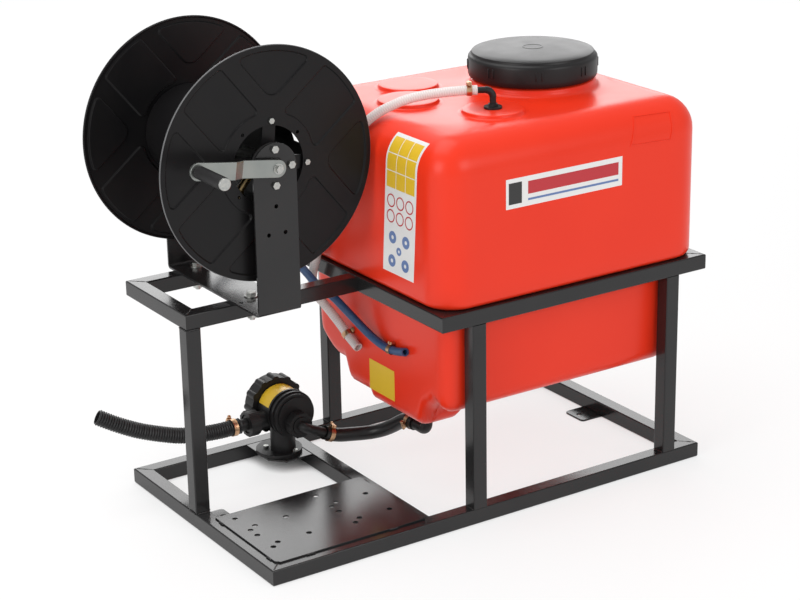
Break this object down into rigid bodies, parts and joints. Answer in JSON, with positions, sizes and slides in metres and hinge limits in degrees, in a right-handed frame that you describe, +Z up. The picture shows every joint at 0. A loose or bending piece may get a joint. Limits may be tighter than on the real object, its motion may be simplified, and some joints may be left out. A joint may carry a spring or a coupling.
{
  "type": "skid-mounted field sprayer unit",
  "caption": "Square-tube skid with a moulded liquid tank, a hand-cranked hose reel on a shelf, a suction filter and a bare plate for a pump",
  "frame": {"origin": "on the ground, under the middle of the base's cross member", "axes": "+X along the skid from the reel to the tank, +Y to the back, +Z up"},
  "size_m": [1.085, 0.59, 0.915],
  "materials": {
    "frame_paint": "satin",
    "reel_paint": "satin",
    "cast_black": "satin",
    "zinc": "satin",
    "brass": "satin",
    "grip_plastic": "matte",
    "tank_plastic": "satin",
    "black_plastic": "matte",
    "seal_rubber": "matte",
    "mesh_plastic": "matte",
    "clear_hose": "gloss",
    "blue_hose": "satin",
    "suction_hose": "satin"
  },
  "bodies": {
    "frame": {"base_rail_front": "frame_paint", "base_rail_back": "frame_paint", "base_rail_left": "frame_paint", "base_rail_right": "frame_paint", "base_cross_member": "frame_paint", "tank_post_front_left": "frame_paint", "tank_post_front_right": "frame_paint", "tank_post_back_left": "frame_paint", "tank_post_back_right": "frame_paint", "shelf_post": "frame_paint", "ring_rail_front": "frame_paint", "ring_rail_back": "frame_paint", "ring_rail_left": "frame_paint", "ring_rail_right": "frame_paint", "shelf_rail_front": "frame_paint", "shelf_rail_back": "frame_paint", "shelf_rail_left": "frame_paint", "pump_plate": "frame_paint", "hold_down_lugs": "frame_paint", "filter_plate": "frame_paint", "reel_stand": "frame_paint", "stand_bolts": "zinc", "stand_washers": "zinc", "stand_nuts": "zinc", "shaft_bearings": "cast_black", "bearing_bolts": "zinc", "swivel_inlet": "brass", "tank_shell": "tank_plastic", "strainer_basket": "black_plastic", "return_elbow": "black_plastic", "port_clamps": "zinc", "clear_hose": "clear_hose", "clear_hose_clamp": "zinc", "blue_hose": "blue_hose", "blue_hose_clamp": "brass", "filter_body": "black_plastic", "filter_cartridge": "mesh_plastic", "filter_nuts": "black_plastic", "suction_barb": "black_plastic", "link_elbow": "black_plastic", "filter_bolts": "zinc", "suction_hose": "suction_hose", "link_hose": "suction_hose", "outlet_elbow": "black_plastic"},
    "reel": {"reel_shaft": "zinc", "reel_spiders": "reel_paint", "reel_drum": "reel_paint", "reel_flange_front": "reel_paint", "reel_flange_back": "reel_paint", "flange_bolts": "zinc", "reel_outlet": "brass", "crank_arm": "zinc", "crank_bolt": "zinc", "grip_pin": "zinc"},
    "grip": {"crank_grip": "grip_plastic"},
    "lid_ring": {"lid_seal": "seal_rubber"},
    "lid": {"tank_lid": "black_plastic"},
    "cap_ring": {"filter_cap_seal": "seal_rubber"},
    "cap": {"filter_cap": "black_plastic"}
  },
  "joints": [
    {"name": "reel_spin", "type": "hinge", "parent": "frame", "child": "reel", "pos_m": [-0.192, 0.0975, 0.7], "axis": [0, 1, 0], "continuous": true},
    {"name": "grip_spin", "type": "hinge", "parent": "reel", "child": "grip", "pos_m": [-0.3551, -0.1425, 0.72496], "axis": [0, 1, 0], "continuous": true},
    {"name": "lid_lift", "type": "slide", "parent": "frame", "child": "lid_ring", "axis": [0, 0, 1], "range_m": [0, 0.15]},
    {"name": "lid_turn", "type": "hinge", "parent": "lid_ring", "child": "lid", "pos_m": [0.432, 0, 0.79], "axis": [0, 0, 1], "range_deg": [0, 360]},
    {"name": "cap_pull", "type": "slide", "parent": "frame", "child": "cap_ring", "axis": [0, 1, 0], "range_m": [0, 0.06]},
    {"name": "cap_turn", "type": "hinge", "parent": "cap_ring", "child": "cap", "pos_m": [-0.047, 0.2175, 0.118], "axis": [0, 1, 0], "range_deg": [0, 360]}
  ]
}
